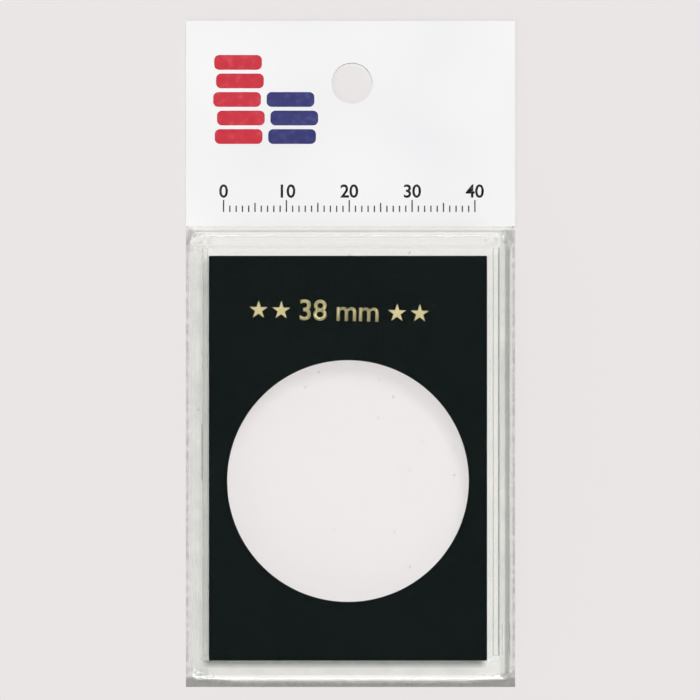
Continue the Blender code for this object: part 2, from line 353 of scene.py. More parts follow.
# %% [markdown]
# ## Front cover
#
# The cover is a plate with a soft front edge, and under it a rail along each long side that slips inside
# the tray's wall. The rails grow out of the plate, so they are extruded from its back face. That face is
# first divided with bisect cuts along the outline of the rails, as a knife would do by hand.

# %% Cover plate and rails
RAIL_WIDTH = 0.9 * MM
FRONT_ROUND = 0.8 * MM

cover = start_block(
    "cover_moulding", Vector((cover_low.x, cover_low.y, plate_low_z)), cover_high.copy()
)
bevel(cover, is_upright, CORNER_RADIUS, segments=8)
round_rim(cover, cover_high.z, FRONT_ROUND, segments=8)
round_rim(cover, plate_low_z, MOULD_EDGE, segments=2)


def is_plate_back(face):
    return face.normal.z < -FACING and abs(face.calc_center_median().z - plate_low_z) < NEAR


rail_inner_x = rail_outer_x - RAIL_WIDTH
rail_edges_x = (-rail_outer_x, -rail_inner_x, rail_inner_x, rail_outer_x)
cuts = [((x, 0.0, 0.0), (1.0, 0.0, 0.0)) for x in rail_edges_x]
cuts += [((0.0, y, 0.0), (0.0, 1.0, 0.0)) for y in (rail_low_y, rail_high_y)]
for place, across in cuts:
    pick(cover, "FACE", is_plate_back)
    bpy.ops.mesh.bisect(plane_co=place, plane_no=across)


def is_rail_foot(face):
    middle = face.calc_center_median()
    along = rail_low_y < middle.y < rail_high_y
    return is_plate_back(face) and along and rail_inner_x < abs(middle.x) < rail_outer_x


rail_height = plate_low_z - cover_low.z
pick(cover, "FACE", is_rail_foot)
pull(-rail_height)
count(cover)

# %% [markdown]
# A rail guides the cover into the tray, so its inner long edge has a generous lead-in, and the outer one
# only a small rounding. Its ends are rounded a little too, because a sharp end shows as a hard line.

# %% Rounded rails
RAIL_EDGE = 0.15 * MM
RAIL_LEAD_IN = 0.35 * MM
RAIL_END_EDGE = 0.12 * MM


def is_rail_edge(edge, x):
    at_foot = all(abs(vertex.co.z - cover_low.z) < NEAR for vertex in edge.verts)
    return at_foot and all(abs(abs(vertex.co.x) - x) < NEAR for vertex in edge.verts)


def is_end_face(face):
    return abs(face.normal.y) > FACING and face.calc_center_median().z < plate_low_z


def is_rail_end(edge):
    ends = [face for face in edge.link_faces if is_end_face(face)]
    return len(ends) == 1 and any(vertex.co.z < plate_low_z - NEAR for vertex in edge.verts)


bevel(cover, lambda edge: is_rail_edge(edge, rail_outer_x), RAIL_EDGE, segments=3)
bevel(cover, lambda edge: is_rail_edge(edge, rail_inner_x), RAIL_LEAD_IN, segments=4)
bevel(cover, is_rail_end, RAIL_END_EDGE, segments=2)
count(cover)

# %% [markdown]
# Each rail carries a low bead halfway along, the part that clicks. It is a rod sunk into the rail so that
# only a sliver of it stands proud, joined on with a Boolean so that no faces are left inside the plastic.

# %% Snap beads
for centre in bead_centres:
    combine(cover, start_rod("bead", centre, BEAD_RADIUS, BEAD_LENGTH, ALONG_Y), "UNION")
smooth(cover)
count(cover)

# %% [markdown]
# ## Black insert
#
# The insert is a flat black plate with a round hole that takes a 38.1 mm coin with a little room. A block
# less a rod with many sides makes it, and a small rounding on every sharp edge catches light as a thin
# line.

# %% Insert with its coin hole
COIN_HOLE_RADIUS = 19.2 * MM
COIN_HOLE_DROP = 3.65 * MM
INSERT_EDGE = 0.15 * MM

insert_centre = (insert_low + insert_high) / 2
insert = start_block("insert_plate", insert_low, insert_high)
hole_centre = insert_centre - Vector((0.0, COIN_HOLE_DROP, 0.0))
hole_depth = insert_high.z - insert_low.z + 2 * CUT_PAST
combine(insert, start_rod("hole", hole_centre, COIN_HOLE_RADIUS, hole_depth, sides=192), "DIFFERENCE")
bevel(insert, is_sharp, INSERT_EDGE, segments=3)
smooth(insert)
count(insert)

# %% [markdown]
# ## Flat prints
#
# Foil and ink are thin layers. Each starts flat at z = 0 and is then thickened and sunk a little into its
# surface, so no gap shows under it. Text starts as a text object and becomes a mesh before it gets its
# place. A mark that repeats is modelled once at the origin and copied.

# %% Helpers for flat prints
PRINT_PROUD = 0.012 * MM
PRINT_SINK = 0.02 * MM
MERGE = 0.001 * MM
FLAT_ANGLE = math.radians(1)


def print_text(name, words, size, place, bolder):
    deselect_all()
    bpy.ops.object.text_add(location=(0.0, 0.0, 0.0))
    text = bpy.context.object.data
    text.body = words
    text.size = size
    text.align_x = "CENTER"
    text.align_y = "CENTER"
    text.offset = bolder
    bpy.ops.object.convert(target="MESH")
    bpy.context.object.location = (*place, 0.0)
    flat = settle(name)
    pick(flat, "VERT")
    bpy.ops.mesh.remove_doubles(threshold=MERGE)
    bpy.ops.mesh.dissolve_limited(angle_limit=FLAT_ANGLE)
    leave_edit_mode()
    return flat


def copy_to(pattern, place):
    select_only(pattern)
    bpy.ops.object.duplicate()
    bpy.context.object.location = (*place, 0.0)
    return settle(pattern.name)


def join(pieces, name):
    deselect_all()
    for piece in pieces:
        piece.select_set(True)
    bpy.context.view_layer.objects.active = pieces[0]
    bpy.ops.object.join()
    return settle(name)


def thicken_print(piece, surface_z):
    pick(piece, "FACE")
    bpy.ops.mesh.normals_make_consistent(inside=False)
    pull(PRINT_PROUD + PRINT_SINK)
    bpy.ops.mesh.select_all(action="SELECT")
    bpy.ops.mesh.normals_make_consistent(inside=False)
    bpy.ops.transform.translate(value=(0.0, 0.0, surface_z - PRINT_SINK))
    leave_edit_mode()


print(f"a print stands {PRINT_PROUD / MM:.3f} mm proud")

# %% [markdown]
# ## Gold stamp on the insert
#
# A line of gold foil is hot stamped above the hole, a little to the left and not quite level, as hand-set
# stamping is. Here it gives the size of the coin between small stars. A star starts as a circle of ten
# points, of which every second one is drawn in to where the lines of a five-pointed star cross.

# %% Stars and size
STAMP_BELOW_TOP = 8.9 * MM
STAMP_STEP_LEFT = 1.4 * MM
STAMP_SLANT = math.radians(-1.3)
STAMP_TEXT_SIZE = 4.6 * MM
STAMP_BOLDER = 0.06 * MM
STAR_RADIUS = 1.5 * MM
STAR_INNER_SHARE = math.sin(math.radians(18)) / math.sin(math.radians(54))
STAR_PITCH = 3.6 * MM
FIRST_STAR = 9.2 * MM
STARS_A_SIDE = 2

deselect_all()
bpy.ops.mesh.primitive_circle_add(vertices=10, radius=STAR_RADIUS, fill_type="NGON")
star = settle("stamp_star")
for vertex in list(star.data.vertices)[1::2]:
    vertex.co *= STAR_INNER_SHARE

stamp_x = insert_centre.x - STAMP_STEP_LEFT
stamp_y = insert_high.y - STAMP_BELOW_TOP
stamp_marks = [print_text("stamp_size", "38 mm", STAMP_TEXT_SIZE, (stamp_x, stamp_y), STAMP_BOLDER)]
for side in (-1, 1):
    for number in range(STARS_A_SIDE):
        star_x = stamp_x + side * (FIRST_STAR + number * STAR_PITCH)
        stamp_marks.append(copy_to(star, (star_x, stamp_y)))
bpy.data.objects.remove(star, do_unlink=True)
stamp = join(stamp_marks, "gold_stamp")
pick(stamp, "VERT")
bpy.ops.transform.rotate(
    value=-STAMP_SLANT, orient_axis="Z", center_override=(stamp_x, stamp_y, 0.0)
)
thicken_print(stamp, insert_high.z)
count(stamp)

# %% [markdown]
# ## White header
#
# The header is a strip of thin white plastic that stiffens the top of the bag and carries the hang hole.
# Thin sheet is never quite flat, and its shading shows that, so it is a grid with a slow wave of less than
# a tenth of a millimetre. The prints on it follow the same wave.

# %% Header sheet
HANG_HOLE_RADIUS = 3.25 * MM
HANG_HOLE_BELOW_TOP = 9.9 * MM
HANG_HOLE_SIDE_STEP = 0.24 * MM
HEADER_WAVE = 0.09 * MM
HEADER_WAVE_LENGTH = 11.0 * MM
HEADER_GRID = (72, 44)


def follow_header(piece):
    """Lift each point of a sheet or a print by the header's slow wave."""
    for vertex in piece.data.vertices:
        slow = noise.noise(Vector((vertex.co.x, vertex.co.y, 0.0)) / HEADER_WAVE_LENGTH)
        vertex.co.z += HEADER_WAVE * (1.0 + slow) / 2


def punch_hang_hole(sheet, y, z):
    centre = Vector((HANG_HOLE_SIDE_STEP, y, z))
    punch = start_rod("punch", centre, HANG_HOLE_RADIUS, 2 * CUT_PAST, sides=96)
    combine(sheet, punch, "DIFFERENCE")


header_centre = (header_low + header_high) / 2
deselect_all()
bpy.ops.mesh.primitive_grid_add(
    x_subdivisions=HEADER_GRID[0], y_subdivisions=HEADER_GRID[1], size=1.0, location=header_centre
)
bpy.context.object.scale = (header_high.x - header_low.x, header_high.y - header_low.y, 1.0)
header = settle("header_sheet")
apply_modifier(header, "SOLIDIFY", thickness=header_high.z - header_low.z, offset=0.0)
hang_hole_y = header_high.y - HANG_HOLE_BELOW_TOP
punch_hang_hole(header, hang_hole_y, header_centre.z)
follow_header(header)
smooth(header, degrees=40)
count(header)

# %% [markdown]
# ## Prints on the header
#
# Two generic prints stand on the header. The first is a millimetre scale in black, which suits a holder
# for coins. It is one tick repeated by an Array modifier. Then the end of every fifth tick is pulled up,
# and that of every tenth once more, so the long ticks need no second shape.

# %% Millimetre scale
SCALE_LENGTH = 40
SCALE_LEFT = -20.2 * MM
SCALE_BOTTOM = 22.6 * MM
TICK_WIDTH = 0.2 * MM
TICK_HEIGHT = 1.0 * MM
TICK_LONGER = 0.45 * MM
LONGER_TICKS = (5, 10)
NUMBER_EVERY = 10
NUMBER_SIZE = 2.9 * MM
NUMBER_RISE = 3.2 * MM
NUMBER_BOLDER = 0.05 * MM

tick_place = (SCALE_LEFT, SCALE_BOTTOM + TICK_HEIGHT / 2, 0.0)
ticks = start_plane("scale_ticks", (TICK_WIDTH, TICK_HEIGHT), tick_place)
apply_modifier(
    ticks,
    "ARRAY",
    count=SCALE_LENGTH + 1,
    use_relative_offset=False,
    use_constant_offset=True,
    constant_offset_displace=(MM, 0.0, 0.0),
)


def is_tick_end(vertex, step):
    millimetre = round((vertex.co.x - SCALE_LEFT) / MM)
    return vertex.co.y > SCALE_BOTTOM + TICK_HEIGHT / 2 and millimetre % step == 0


for step in LONGER_TICKS:
    pick(ticks, "VERT", lambda vertex: is_tick_end(vertex, step))
    bpy.ops.transform.translate(value=(0.0, TICK_LONGER, 0.0))
scale_marks = [ticks]
for number in range(0, SCALE_LENGTH + 1, NUMBER_EVERY):
    place = (SCALE_LEFT + number * MM, SCALE_BOTTOM + NUMBER_RISE)
    scale_marks.append(print_text("scale_number", str(number), NUMBER_SIZE, place, NUMBER_BOLDER))
scale = join(scale_marks, "printed_scale")
thicken_print(scale, header_high.z)
follow_header(scale)
count(scale)

# %% [markdown]
# The second print is two stacks of coins in red and blue, seen from the side. A coin is a plane whose
# corners are rounded by a vertex bevel. Each copy is slid a little aside, as coins lie in a stack built by
# hand.

# %% Coin stacks
COIN_PRINT = (7.6 * MM, 2.35 * MM)
COIN_PRINT_ROUND = 0.8 * MM
COIN_PRINT_STEP = 2.95 * MM
STACK_FOOT_Y = 34.6 * MM
STACKS = (("coin_stack_red", -17.8 * MM, 5), ("coin_stack_blue", -9.3 * MM, 3))
SLIDE_ASIDE = (0.0, 0.35 * MM, -0.25 * MM, 0.2 * MM, -0.1 * MM)

coin = start_plane("printed_coin", COIN_PRINT, (0.0, 0.0, 0.0))
pick(coin, "VERT")
bpy.ops.mesh.bevel(offset=COIN_PRINT_ROUND, segments=6, affect="VERTICES")

stacks = []
for name, stack_x, coins in STACKS:
    marks = []
    for number in range(coins):
        place = (stack_x + SLIDE_ASIDE[number], STACK_FOOT_Y + number * COIN_PRINT_STEP)
        marks.append(copy_to(coin, place))
    stack = join(marks, name)
    thicken_print(stack, header_high.z)
    follow_header(stack)
    stacks.append(stack)
    count(stack)
bpy.data.objects.remove(coin, do_unlink=True)

# %% [markdown]
# ## Back film of the bag
#
# The back of the bag is one flat sheet of clear film that runs up behind the header. Its own hang hole
# sits a little lower than the header's, which leaves a thin crescent of film at the top of the hole.

# %% Back film sheet
BACK_HOLE_SLIP = 0.45 * MM

back_film = start_block("back_film", back_film_low, back_film_high)
punch_hang_hole(back_film, hang_hole_y - BACK_HOLE_SLIP, back_film_low.z)
smooth(back_film, degrees=40)
count(back_film)

# %% [markdown]
# ## Front film of the bag
#
# The front film is a pouch: it lies over the holder, turns down its sides and is welded to the back film
# along both sides and the bottom. A cloth simulation could drape it, but film is stiff and its shape
# plain, so it is modelled directly. It starts as a flat rectangle, the outline of the welds. The face is
# inset by the side weld, and two of the new edges are moved to the bottom weld and to the mouth.

# %% Flat film with its welds
FILM_THICKNESS = 0.1 * MM
FILM_CLEARANCE = 0.3 * MM
BOTTOM_WELD = 0.8 * MM

mouth_y = front_film_high.y
film_foot_z = front_film_low.z + FILM_THICKNESS / 2
film_top_z = front_film_high.z - FILM_THICKNESS / 2
film_side_x = half_width + FILM_CLEARANCE + FILM_THICKNESS / 2
film_bottom_y = front_film_low.y + BOTTOM_WELD + FILM_THICKNESS / 2
side_weld = front_film_high.x - film_side_x

film_size = (front_film_high - front_film_low).xy
film_middle_y = (front_film_low.y + mouth_y) / 2
film = start_plane("front_film", film_size, (0.0, film_middle_y, film_foot_z))
pick(film, "FACE")
bpy.ops.mesh.inset(thickness=side_weld)
inner_bottom_y = front_film_low.y + side_weld
inner_mouth_y = mouth_y - side_weld


def is_inner_at(vertex, y):
    return abs(vertex.co.y - y) < NEAR and abs(vertex.co.x) < film_side_x + NEAR


for start_y, end_y in ((inner_bottom_y, film_bottom_y), (inner_mouth_y, mouth_y)):
    pick(film, "VERT", lambda vertex: is_inner_at(vertex, start_y))
    bpy.ops.transform.translate(value=(0.0, end_y - start_y, 0.0))
count(film)

# %% [markdown]
# Now the inner face is pulled up to make the pouch, the faces across the mouth are deleted, and the folds
# are bevelled: the upright ones round the holder's lower corners, and the long ones over its front.

# %% Pouch, mouth and folds
FILM_FOLD = 1.6 * MM


def is_inner_face(face):
    inside = all(abs(vertex.co.x) < film_side_x + NEAR for vertex in face.verts)
    return inside and face.calc_area() > film_side_x**2


pick(film, "FACE", is_inner_face)
pull(film_top_z - film_foot_z)
pick(film, "FACE", lambda face: all(vertex.co.y > mouth_y - NEAR for vertex in face.verts))
bpy.ops.mesh.delete(type="FACE")


def is_upright_fold(edge):
    return is_upright(edge) and not edge.is_boundary


def is_front_fold(edge):
    return is_rim(edge, film_top_z, True) and not edge.is_boundary


bevel(film, is_upright_fold, CORNER_RADIUS + FILM_CLEARANCE, segments=6)
bevel(film, is_front_fold, FILM_FOLD, segments=8)
count(film)

# %% [markdown]
# Handled film is crumpled at the corners of the mouth and a little slack all over. A smooth noise moves
# each point along its normal. That needs points to move, so bisect cuts lay a grid over the mesh first,
# and the crumpled corners are subdivided further. The foot stays where it is welded. Last, Solidify gives
# the film its thickness.

# %% Wrinkles and thickness
FILM_CUT = 1.6 * MM
SLACK = 0.07 * MM
SLACK_LENGTH = 7.0 * MM
CRUMPLE = 0.6 * MM
CRUMPLE_LENGTH = 1.3 * MM
CRUMPLE_REACH = 5.0 * MM
CRUMPLE_CUTS = 3
FOOT_RISE = 1.0 * MM

for axis, low, high in zip(range(3), front_film_low, front_film_high):
    across = Vector((axis == 0, axis == 1, axis == 2))
    for number in range(1, math.ceil((high - low) / FILM_CUT)):
        pick(film, "FACE")
        bpy.ops.mesh.bisect(plane_co=across * (low + number * FILM_CUT), plane_no=across)

mouth_corners = [Vector((side * half_width, mouth_y, film_top_z)) for side in (-1, 1)]


def corner_distance(place):
    return min((place - corner).length for corner in mouth_corners)


pick(film, "FACE", lambda face: corner_distance(face.calc_center_median()) < CRUMPLE_REACH)
bpy.ops.mesh.subdivide(number_cuts=CRUMPLE_CUTS)
leave_edit_mode()


def film_slack(place):
    """How far the film stands out from its tight shape at a place."""
    crumpled = max(0.0, 1.0 - corner_distance(place) / CRUMPLE_REACH)
    slack = SLACK * noise.noise(place / SLACK_LENGTH)
    creases = CRUMPLE * crumpled * abs(noise.noise(place / CRUMPLE_LENGTH))
    above_foot = min(1.0, (place.z - film_foot_z) / FOOT_RISE)
    return above_foot * (slack + creases)


moves = [vertex.normal * film_slack(vertex.co) for vertex in film.data.vertices]
for vertex, move in zip(film.data.vertices, moves):
    vertex.co += move
apply_modifier(film, "SOLIDIFY", thickness=FILM_THICKNESS, offset=0.0, use_even_offset=True)
smooth(film, degrees=50)
count(film)

# %% [markdown]
# ## How a finish is built
#
# Every finish below is a Principled shader with its numbers driven by nodes, so that no surface is one
# flat colour. Wiring nodes is a few movements again: add a node, set or link its inputs, map a range,
# multiply, take the larger value, mix two colours. The helpers below are those movements.

# %% Helpers for nodes
def new_finish(name):
    material = bpy.data.materials.new(name)
    material.use_nodes = True
    return material, material.node_tree, material.node_tree.nodes["Principled BSDF"]


def set_inputs(tree, node, inputs):
    """Set inputs by name or number, each to a plain value or to the output of another node."""
    for name, value in inputs.items():
        if isinstance(value, bpy.types.NodeSocket):
            tree.links.new(value, node.inputs[name])
        else:
            node.inputs[name].default_value = value


def add_node(tree, kind, inputs=None, **settings):
    """Add a node with its settings and inputs, and return its outputs."""
    made = tree.nodes.new(kind)
    for name, value in settings.items():
        setattr(made, name, value)
    set_inputs(tree, made, inputs or {})
    return made.outputs


def map_range(tree, value, from_low, from_high, to_low=0.0, to_high=1.0):
    ranges = {0: value, 1: from_low, 2: from_high, 3: to_low, 4: to_high}
    return add_node(tree, "ShaderNodeMapRange", ranges)[0]


def calculate(tree, operation, first, second=0.0):
    return add_node(tree, "ShaderNodeMath", {0: first, 1: second}, operation=operation)[0]


def multiply(tree, product, *factors):
    for factor in factors:
        product = calculate(tree, "MULTIPLY", product, factor)
    return product


def largest(tree, value, *others):
    for other in others:
        value = calculate(tree, "MAXIMUM", value, other)
    return value


def within(tree, value, low, high, fade):
    """A mask that is 1 between low and high and fades to 0 outside them."""
    rising = map_range(tree, value, low - fade, low)
    return multiply(tree, rising, map_range(tree, value, high, high + fade, 1.0, 0.0))


def mix_colour(tree, share, first, second):
    """Mix two colours, each given as three numbers or as the output of another node."""
    inputs = {0: share}
    for number, colour in ((6, first), (7, second)):
        inputs[number] = (*colour, 1.0) if isinstance(colour, tuple) else colour
    return add_node(tree, "ShaderNodeMix", inputs, data_type="RGBA")[2]


def coordinates(tree, kind="Object"):
    return add_node(tree, "ShaderNodeTexCoord")[kind]


def split(tree, vector):
    return list(add_node(tree, "ShaderNodeSeparateXYZ", {"Vector": vector}))


def bump(tree, height, strength, depth):
    inputs = {"Height": height, "Strength": strength, "Distance": depth}
    return add_node(tree, "ShaderNodeBump", inputs)["Normal"]


print("ready to wire nodes")

# %% [markdown]
# Three marks of use turn up on most finishes: soft clouds, fine scratches and sparse specks. They are one
# node group, and each finish places it with its own scales. The group reads Object coordinates, so a mark
# stays on its piece when the piece moves. Scratches are a noise that is stretched along a slant and cut
# off high, and specks are the middles of a few Voronoi cells.

# %% Group of handling marks
SCRATCH_TURN = math.radians(34)
SCRATCH_STRETCH = 0.035
SCRATCH_EDGE = (0.66, 0.72)
SPECK_EDGE = (0.06, 0.12)
SPECKS_LEFT_OUT = 0.85

marks_group = bpy.data.node_groups.new("handling_marks", "ShaderNodeTree")
for socket_name in ("Cloud Scale", "Cloud Detail", "Scratch Scale", "Speck Scale"):
    marks_group.interface.new_socket(socket_name, in_out="INPUT", socket_type="NodeSocketFloat")
for socket_name in ("Clouds", "Scratches", "Specks"):
    marks_group.interface.new_socket(socket_name, in_out="OUTPUT", socket_type="NodeSocketFloat")
entry = add_node(marks_group, "NodeGroupInput")
place = coordinates(marks_group)

soft = {"Scale": entry["Cloud Scale"], "Detail": entry["Cloud Detail"], "Roughness": 0.55}
clouds = add_node(marks_group, "ShaderNodeTexNoise", {"Vector": place, **soft})["Fac"]

slant = {"Rotation": (0.0, 0.0, SCRATCH_TURN), "Scale": (1.0, SCRATCH_STRETCH, 1.0)}
slanted = add_node(marks_group, "ShaderNodeMapping", {"Vector": place, **slant})["Vector"]
fine = {"Scale": entry["Scratch Scale"], "Detail": 2.0, "Roughness": 0.5}
streaks = add_node(marks_group, "ShaderNodeTexNoise", {"Vector": slanted, **fine})["Fac"]

cells = add_node(marks_group, "ShaderNodeTexVoronoi", {"Vector": place, "Scale": entry["Speck Scale"]})
dots = map_range(marks_group, cells["Distance"], *SPECK_EDGE, 1.0, 0.0)
chance = add_node(marks_group, "ShaderNodeSeparateColor", {"Color": cells["Color"]})["Red"]
kept = calculate(marks_group, "GREATER_THAN", chance, SPECKS_LEFT_OUT)
found = {
    "Clouds": clouds,
    "Scratches": map_range(marks_group, streaks, *SCRATCH_EDGE),
    "Specks": multiply(marks_group, dots, kept),
}
set_inputs(marks_group, marks_group.nodes.new("NodeGroupOutput"), found)


def add_marks(tree, cloud_scale, scratch_scale, speck_scale, cloud_detail=3.0):
    """Place the group of marks in a finish with its own scales, in features per metre."""
    scales = {0: cloud_scale, 1: cloud_detail, 2: scratch_scale, 3: speck_scale}
    return add_node(tree, "ShaderNodeGroup", scales, node_tree=marks_group)


print("group:", marks_group.name)

# %% [markdown]
# ## Clear plastic
#
# The holder's two halves are polished clear plastic. Such plastic looks colourless through its flats, but
# along the walls, where the eye looks through more of it, it has a green-grey cast. An absorbing volume
# could give that, but it renders slowly. So the colour is mixed by place: masks on Object coordinates know
# the room, the insert and the walls, and the clouds turn the cast warmer in patches. The ends are painted
# paler than the side walls and the top end palest, which is painted light, and a painted shade line lies
# along the top wall.

# %% Cast of the walls, with painted light and shade
CAST_FADE = 0.2 * MM
PAINTED_SHADE_LINE = 0.1 * MM
PATCHES = (0.35, 0.65)
FLAT_TINT = (0.98, 0.98, 0.977)
SIDE_TINT = (0.855, 0.874, 0.857)
WARM_SIDE_TINT = (0.946, 0.961, 0.926)
# The end tints are painted light, paler than the cast alone would give.
END_PAINTED_LIGHT_TINT = (0.938, 0.956, 0.936)
WARM_END_PAINTED_LIGHT_TINT = (0.99, 0.995, 0.97)
TOP_PAINTED_LIGHT_TINT = (0.99, 1.0, 0.982)
# Tint of a painted shade line along the top wall.
TOP_WALL_PAINTED_SHADE_TINT = (0.92, 0.94, 0.92)

room_side_x = half_width - SIDE_WALL
room_top_y = cover_high.y - TOP_WALL


def wall_cast(tree, x, y, clouds):
    """The plastic's tint: clear over the insert and green-grey in the side walls.
    The ends are painted paler as painted light, and a painted shade line lies along the top wall.
    """
    left_half = calculate(tree, "LESS_THAN", x, 0.0)
    open_left = multiply(tree, map_range(tree, y, insert_high.y, room_top_y), left_half)
    in_room = largest(tree, within(tree, x, insert_low.x, room_side_x, CAST_FADE), open_left)
    across = within(tree, x, insert_low.x, insert_high.x, CAST_FADE)
    over_insert = multiply(tree, across, within(tree, y, insert_low.y, insert_high.y, CAST_FADE))
    uneven = map_range(tree, clouds, *PATCHES)
    sides = mix_colour(tree, uneven, SIDE_TINT, WARM_SIDE_TINT)
    # Painted light: the ends are painted paler than the side walls.
    ends = mix_colour(tree, uneven, END_PAINTED_LIGHT_TINT, WARM_END_PAINTED_LIGHT_TINT)
    # Painted light: the top end is painted palest.
    top_painted_light = map_range(tree, y, insert_high.y, insert_high.y + CAST_FADE)
    ends = mix_colour(tree, top_painted_light, ends, TOP_PAINTED_LIGHT_TINT)
    # Painted shade: a thin dark line along the top wall.
    top_wall_painted_shade = within(tree, y, room_top_y, room_top_y + PAINTED_SHADE_LINE, CAST_FADE)
    ends = mix_colour(tree, top_wall_painted_shade, ends, TOP_WALL_PAINTED_SHADE_TINT)
    room = mix_colour(tree, over_insert, ends, FLAT_TINT)
    return mix_colour(tree, in_room, sides, room)


print("tints of the side walls:", SIDE_TINT, "to", WARM_SIDE_TINT)

# %% [markdown]
# Next to the black insert the plastic is painted darker: a painted soft shade lies below its foot, and a
# fainter one along its left side. The gaps beside the rails are painted too, as a dark shade line at the
# right and a pale highlight line at the left. Both are masks by place again, since the clear pieces here
# cast no shadow.

# %% Painted shade round the insert and painted lines of the rails
FOOT_REACH = 1.2 * MM
LEFT_REACH = 1.8 * MM
LEFT_SHARE = 0.34
LINE_FADE = 0.08 * MM
LINE_REACH = 0.1 * MM
# Painted lines at the rails' gaps: a shade line at the right and a highlight line at the left.
RIGHT_PAINTED_SHADE_LINE = (rail_outer_x, room_side_x, (0.76, 0.78, 0.76))
LEFT_PAINTED_HIGHLIGHT_LINE = (-rail_outer_x - LINE_REACH, -rail_outer_x, (0.985, 0.995, 0.975))


def insert_shade(tree, x, y):
    """A mask for the shade below the insert's foot and beside its left edge."""
    below = map_range(tree, y, insert_low.y - FOOT_REACH, insert_low.y)
    along_foot = within(tree, x, insert_low.x, insert_high.x - FOOT_REACH, FOOT_REACH)
    below = multiply(tree, below, along_foot, calculate(tree, "LESS_THAN", y, insert_low.y))
    beside = map_range(tree, x, insert_low.x - LEFT_REACH, insert_low.x, 0.0, LEFT_SHARE)
    along_left = within(tree, y, insert_low.y, insert_high.y - FOOT_REACH, FOOT_REACH)
    beside = multiply(tree, beside, along_left, calculate(tree, "LESS_THAN", x, insert_low.x))
    return largest(tree, below, beside)


# The rail lines are painted: a dark shade line and a pale highlight line.
def draw_rail_lines(tree, x, y, tint):
    along_rail = within(tree, y, rail_low_y, rail_high_y, LINE_FADE)
    for low_x, high_x, line_tint in (RIGHT_PAINTED_SHADE_LINE, LEFT_PAINTED_HIGHLIGHT_LINE):
        line = multiply(tree, within(tree, x, low_x, high_x, LINE_FADE), along_rail)
        tint = mix_colour(tree, line, tint, line_tint)
    return tint


print("reach of the shade below and beside the insert in mm:", in_mm((FOOT_REACH, LEFT_REACH)))

# %% [markdown]
# A Principled shader with full transmission bends light as the real plastic does. The specks are dust, so
# they darken the tint a little. Scratches and specks are rougher than the polish, and scratches are a very
# small bump too.

# %% Clear plastic finish
PLASTIC_IOR = 1.49
POLISHED = 0.015
SCRATCHED = 0.14
SPECK_SHARE = 0.6
# The painted shade of the insert and the dust specks share this darker tint.
SHADE_AND_DUST_TINT = (0.48, 0.51, 0.49)


def clear_plastic(name):
    material, tree, shader = new_finish(name)
    marks = add_marks(tree, cloud_scale=220.0, scratch_scale=9000.0, speck_scale=420.0)
    x, y, _ = split(tree, coordinates(tree))
    # Painted shade round the insert and dust specks darken the tint.
    shade_and_dust = largest(tree, insert_shade(tree, x, y), multiply(tree, marks["Specks"], SPECK_SHARE))
    tint = mix_colour(tree, shade_and_dust, wall_cast(tree, x, y, marks["Clouds"]), SHADE_AND_DUST_TINT)
    worn = largest(tree, marks["Scratches"], marks["Specks"])
    looks = {
        "Base Color": draw_rail_lines(tree, x, y, tint),
        "Roughness": map_range(tree, worn, 0.0, 1.0, POLISHED, SCRATCHED),
        "IOR": PLASTIC_IOR,
        "Transmission Weight": 1.0,
        "Normal": bump(tree, marks["Scratches"], strength=0.15, depth=0.01 * MM),
    }
    set_inputs(tree, shader, looks)
    return material


cover_plastic = clear_plastic("clear_cover_plastic")
tray_plastic = clear_plastic("clear_tray_plastic")
print("finishes:", cover_plastic.name, tray_plastic.name)

# %% [markdown]
# ## Satin black
#
# The insert is moulded black plastic with a hint of green, satin rather than glossy. A fine grain in the
# bump breaks up the reflection, and slow clouds change the roughness a little from place to place.

# %% Satin black finish
CLOUD_SPREAD = (0.3, 0.7)
DEEP_BLACK = (0.0014, 0.0046, 0.0040)
PALE_BLACK = (0.0026, 0.0061, 0.0054)
SATIN = (0.5, 0.6)
SATIN_SHINE = 0.05


def satin_black():
    material, tree, shader = new_finish("satin_black_plastic")
    clouds = add_marks(tree, cloud_scale=90.0, scratch_scale=8000.0, speck_scale=500.0)["Clouds"]
    fine_grain = {"Vector": coordinates(tree), "Scale": 5200.0, "Detail": 2.0}
    grain = add_node(tree, "ShaderNodeTexNoise", fine_grain)["Fac"]
    looks = {
        "Base Color": mix_colour(tree, clouds, DEEP_BLACK, PALE_BLACK),
        "Roughness": map_range(tree, clouds, *CLOUD_SPREAD, *SATIN),
        "Specular IOR Level": SATIN_SHINE,
        "Normal": bump(tree, grain, strength=0.12, depth=0.02 * MM),
    }
    set_inputs(tree, shader, looks)
    return material


black_plastic = satin_black()
print("finish:", black_plastic.name)

# %% [markdown]
# ## Gold foil
#
# Stamped foil is metal, but pressed into plastic it scatters light. So it is only part metal and quite
# rough, with clouds that let a paler and a browner gold show and that make its surface a little uneven.

# %% Gold foil finish
BROWN_GOLD = (0.50, 0.42, 0.19)
PALE_GOLD = (0.60, 0.55, 0.31)
DULL_FOIL = (0.42, 0.6)
FOIL_METAL = 0.35


def gold_foil():
    material, tree, shader = new_finish("stamped_gold_foil")
    clouds = add_marks(tree, cloud_scale=700.0, scratch_scale=2600.0, speck_scale=2400.0)["Clouds"]
    looks = {
        "Base Color": mix_colour(tree, clouds, BROWN_GOLD, PALE_GOLD),
        "Roughness": map_range(tree, clouds, *CLOUD_SPREAD, *DULL_FOIL),
        "Metallic": FOIL_METAL,
        "Normal": bump(tree, clouds, strength=0.3, depth=0.01 * MM),
    }
    set_inputs(tree, shader, looks)
    return material


foil = gold_foil()
print("finish:", foil.name)

# %% [markdown]
# ## White header and its inks
#
# The header is white plastic with a half gloss. It isn't one white: clouds turn it a touch bluer in soft
# patches. It is also painted brighter towards its lower edge, painted light that makes up for the insert's
# shade there. The inks are thin and slightly mottled, as ink on plastic is, and black, red and blue share
# one function.

